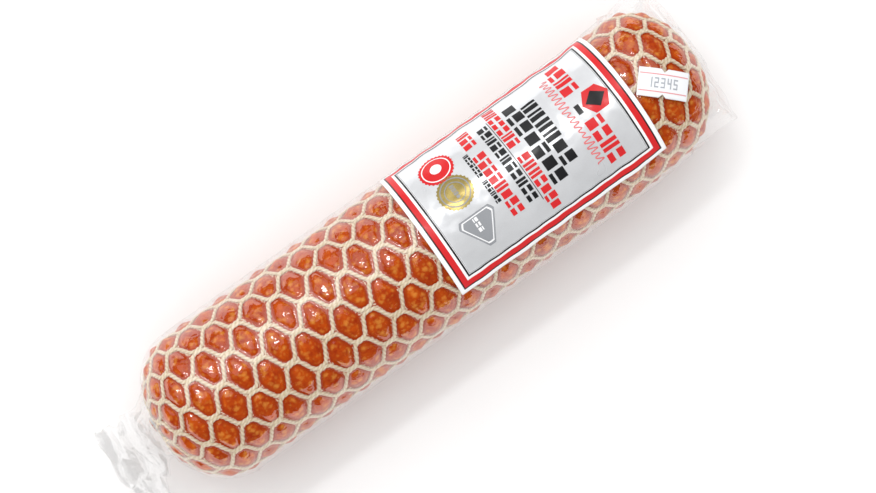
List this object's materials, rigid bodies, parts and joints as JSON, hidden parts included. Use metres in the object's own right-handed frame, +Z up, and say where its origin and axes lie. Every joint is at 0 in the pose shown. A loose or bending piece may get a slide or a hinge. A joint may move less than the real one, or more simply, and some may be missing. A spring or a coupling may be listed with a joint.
{
  "type": "cured sausage",
  "caption": "Fat cured sausage lying on its side in a knitted net and a clear film wrap, with a printed front label and a small price sticker",
  "frame": {"origin": "under the middle of the whole on the surface that it lies on", "axes": "+X runs along the sausage towards the end with the label and the sticker, +Z is up, +Y is across"},
  "size_m": [0.3028, 0.0756, 0.0676],
  "materials": {
    "cured_meat": "orange-red smoked skin over mottled meat with pale fat flecks, satin",
    "cotton_net": "cream twisted cotton strands, matte",
    "clip_metal": "bright pressed wire, satin",
    "clear_film": "clear thin film, glossy, creased at the ends",
    "label_paper": "silver-white coated paper with a red border, semi-gloss",
    "sticker_paper": "white price-gun paper with two thin red lines, matte"
  },
  "bodies": {
    "root": {"sausage_stick": "cured_meat", "net": "cotton_net", "left_clip": "clip_metal", "right_clip": "clip_metal", "film_wrap": "clear_film", "front_label": "label_paper", "price_sticker": "sticker_paper"}
  },
  "joints": []
}
